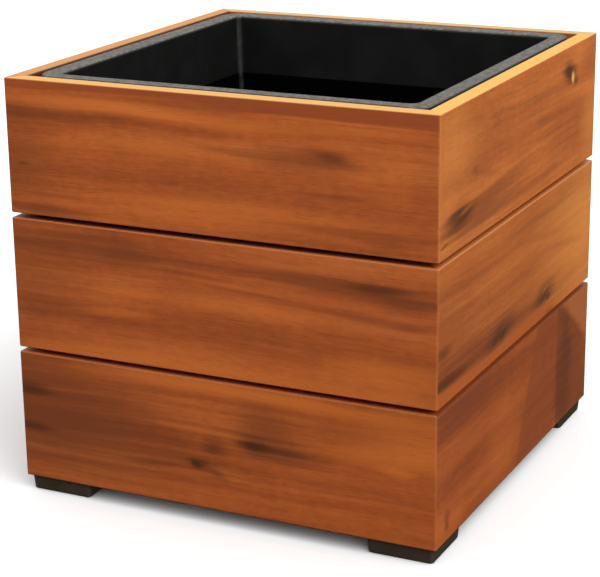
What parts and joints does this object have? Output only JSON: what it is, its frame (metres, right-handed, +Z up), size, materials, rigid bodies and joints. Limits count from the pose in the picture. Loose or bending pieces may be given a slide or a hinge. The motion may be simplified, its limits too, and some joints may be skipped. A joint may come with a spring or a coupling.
{
  "type": "planter box",
  "caption": "Square wooden planter box of mitred boards on inner corner posts, with a slatted base, moulded feet and a lift-out plastic liner that holds soil or a potted plant.",
  "frame": {"origin": "on the ground, under the middle of the box", "axes": "+Z up, front face towards -Y, +X to the right seen from the front"},
  "size_m": [0.4, 0.4, 0.3803],
  "materials": {
    "board_wood": "oiled red-brown hardwood, planed, with lively grain and a few knots",
    "base_wood": "plain planed softwood, unfinished",
    "foot_plastic": "dark brown moulded plastic, matte",
    "liner_plastic": "black moulded plastic, satin rim and finely textured walls",
    "screw_steel": "zinc-plated steel"
  },
  "bodies": {
    "box": {"front_bottom_board": "board_wood", "front_middle_board": "board_wood", "front_top_board": "board_wood", "right_bottom_board": "board_wood", "right_middle_board": "board_wood", "right_top_board": "board_wood", "back_bottom_board": "board_wood", "back_middle_board": "board_wood", "back_top_board": "board_wood", "left_bottom_board": "board_wood", "left_middle_board": "board_wood", "left_top_board": "board_wood", "front_left_post": "base_wood", "front_right_post": "base_wood", "back_left_post": "base_wood", "back_right_post": "base_wood", "front_left_foot": "foot_plastic", "front_right_foot": "foot_plastic", "back_left_foot": "foot_plastic", "back_right_foot": "foot_plastic", "front_left_foot_post_screw": "screw_steel", "front_left_foot_cleat_screw": "screw_steel", "front_right_foot_post_screw": "screw_steel", "front_right_foot_cleat_screw": "screw_steel", "back_left_foot_post_screw": "screw_steel", "back_left_foot_cleat_screw": "screw_steel", "back_right_foot_post_screw": "screw_steel", "back_right_foot_cleat_screw": "screw_steel", "left_cleat": "base_wood", "right_cleat": "base_wood", "left_cleat_screw_1": "screw_steel", "left_cleat_screw_2": "screw_steel", "left_cleat_screw_3": "screw_steel", "right_cleat_screw_1": "screw_steel", "right_cleat_screw_2": "screw_steel", "right_cleat_screw_3": "screw_steel", "base_slat_1": "base_wood", "base_slat_2": "base_wood", "base_slat_3": "base_wood", "base_slat_4": "base_wood", "base_slat_1_left_screw": "screw_steel", "base_slat_1_right_screw": "screw_steel", "base_slat_2_left_screw": "screw_steel", "base_slat_2_right_screw": "screw_steel", "base_slat_3_left_screw": "screw_steel", "base_slat_3_right_screw": "screw_steel", "base_slat_4_left_screw": "screw_steel", "base_slat_4_right_screw": "screw_steel"},
    "liner": {"liner": "liner_plastic"}
  },
  "joints": [
    {"name": "liner_lift", "type": "slide", "parent": "box", "child": "liner", "axis": [0, 0, 1], "range_m": [0, 0.35]}
  ]
}
